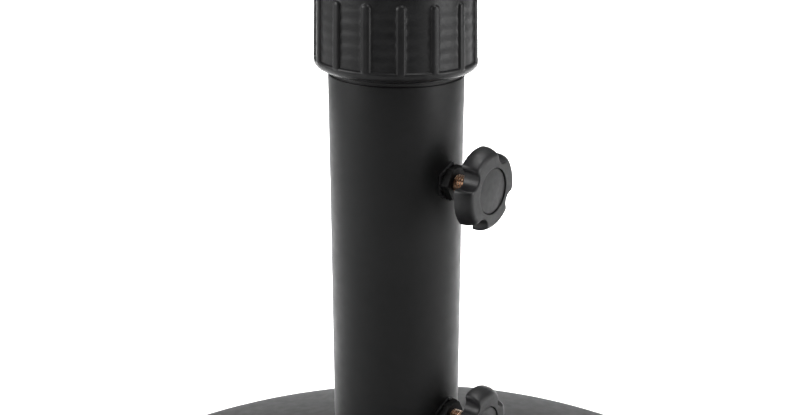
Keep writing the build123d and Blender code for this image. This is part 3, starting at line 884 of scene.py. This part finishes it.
def build_sleeve():
    """The sleeve pressed in the tube's top, with its flange and its coarse thread."""
    angles = evenly_round(192)
    low, high = sleeve_low[2], sleeve_high[2]
    flange = rounded([
        (29.2 * MM, FLANGE_BOTTOM, 0),
        (29.2 * MM, FLANGE_STEP, 0.1 * MM),
        (FLANGE_RADIUS, FLANGE_STEP, 0.25 * MM),
        (FLANGE_RADIUS, FLANGE_TOP, 0.35 * MM),
        (SLEEVE_RADIUS, FLANGE_TOP, 0),
    ], 4)
    below = [
        (SLEEVE_BORE, low),
        (27.6 * MM, low),
        (SLEEVE_PRESSED_RADIUS, low + 0.6 * MM),
        (SLEEVE_PRESSED_RADIUS, FLANGE_BOTTOM),
    ]
    threaded = [(SLEEVE_RADIUS, z) for z in np.arange(TUBE_TOP + 2.4 * MM, THREAD_TOP, 0.34 * MM)]
    above = [
        (28.4 * MM, THREAD_TOP),
        (28.4 * MM, high - 0.5 * MM),
        (27.9 * MM, high),
        (SLEEVE_BORE + 0.3 * MM, high),
        (SLEEVE_BORE, high - 0.3 * MM),
    ]
    first = len(below) + len(flange)
    profile = []
    for i, (radius, z) in enumerate(below + flange + threaded + above):
        radii = np.full(angles.shape, radius)
        if first <= i < first + len(threaded):
            radii = radii + thread_height(angles, z, TUBE_TOP + 5 * MM, 19 * MM)
        profile.append((radii, z))
    rings = turned_rings(profile, angles)
    verts, faces = ring_grid(rings, closed=True)
    finish_mesh("thread_sleeve", verts, faces, "base", NYLON, replaced=["threaded_sleeve"])


build_collar()
build_sleeve()


# ---------------------------------------------------------------- floor, light and camera

def build_floor():
    half = 9.0
    corners = [(-half, -half, 0), (half, -half, 0), (half, half, 0), (-half, half, 0)]
    mesh = bpy.data.meshes.new("floor")
    mesh.from_pydata(corners, [], [(0, 1, 2, 3)])
    floor = bpy.data.objects.new("floor", mesh)
    bpy.context.scene.collection.objects.link(floor)
    paint = material("floor_white", (0.86, 0.86, 0.86), 0.9, specular=0.1)
    vary_colour(paint, noise(paint, 0.4, 2), (0.85, 0.85, 0.85), (0.87, 0.87, 0.87))
    mesh.materials.append(paint)


def softbox(name, place, target, width, height, power):
    """A white area light at place, aimed at target; it returns the light for its spread to be set."""
    light = bpy.data.lights.new(name, "AREA")
    light.shape = "RECTANGLE"
    light.size = width
    light.size_y = height
    light.energy = power
    holder = bpy.data.objects.new(name, light)
    aim = (Vector(target) - Vector(place)).to_track_quat("-Z", "Y")
    holder.matrix_world = Matrix.Translation(place) @ aim.to_matrix().to_4x4()
    bpy.context.scene.collection.objects.link(holder)
    return light


def build_world():
    """A pale studio all round that is dim on the camera's side, by the direction's Y."""
    world = bpy.data.worlds.new("studio")
    world.use_nodes = True
    tree = world.node_tree
    place = tree.nodes.new("ShaderNodeTexCoord")
    split = tree.nodes.new("ShaderNodeSeparateXYZ")
    glow = tree.nodes.new("ShaderNodeMapRange")
    glow.interpolation_type = "SMOOTHSTEP"
    glow.inputs["From Min"].default_value = -0.9
    glow.inputs["From Max"].default_value = 0.4
    glow.inputs["To Min"].default_value = 0.05
    glow.inputs["To Max"].default_value = 0.25
    tree.links.new(place.outputs["Generated"], split.inputs["Vector"])
    tree.links.new(split.outputs["Y"], glow.inputs["Value"])
    tree.links.new(glow.outputs["Result"], tree.nodes["Background"].inputs["Strength"])
    tree.nodes["Background"].inputs["Color"].default_value = (1, 1, 1, 1)
    bpy.context.scene.world = world


def build_light():
    middle = (0, 0, 0.25)
    softbox("left_box", (-1.2, -0.35, 0.8), middle, 0.9, 0.9, 16)
    softbox("right_box", (1.4, -0.35, 0.5), middle, 0.8, 0.8, 12)
    softbox("high_box", (0.35, -0.15, 1.6), middle, 0.5, 0.5, 7)
    near = softbox("near_floor_box", (-0.03, 0.75, 1.3), (-0.03, 0.75, 0), 1.2, 1.0, 16)
    near.spread = math.radians(50)
    far = softbox("far_floor_box", (0, 2.6, 2.0), (0, 2.6, 0), 4.4, 3.0, 110)
    far.spread = math.radians(80)


CAMERA_PLACE = (54.39 * MM, -477.5 * MM, TUBE_TOP + 108.5 * MM)
CAMERA_PITCH = math.radians(19.569)
CAMERA_ROLL = math.radians(2.203)


def build_camera():
    """The camera stands 0.48 m in front of the stem, above its top and a little to its right.

    It looks down, and its view is shifted sideways.
    """
    data = bpy.data.cameras.new("camera")
    data.sensor_width = 36
    data.lens = 49.65
    data.shift_x = -0.14375
    data.clip_start = 0.01
    camera = bpy.data.objects.new("camera", data)
    place = Matrix.Translation(CAMERA_PLACE)
    tilt = Matrix.Rotation(math.pi / 2 - CAMERA_PITCH, 4, "X")
    roll = Matrix.Rotation(CAMERA_ROLL, 4, "Z")
    camera.matrix_world = place @ tilt @ roll
    bpy.context.scene.collection.objects.link(camera)
    bpy.context.scene.camera = camera


build_floor()
build_world()
build_light()
build_camera()
bpy.context.scene.view_settings.view_transform = "Standard"
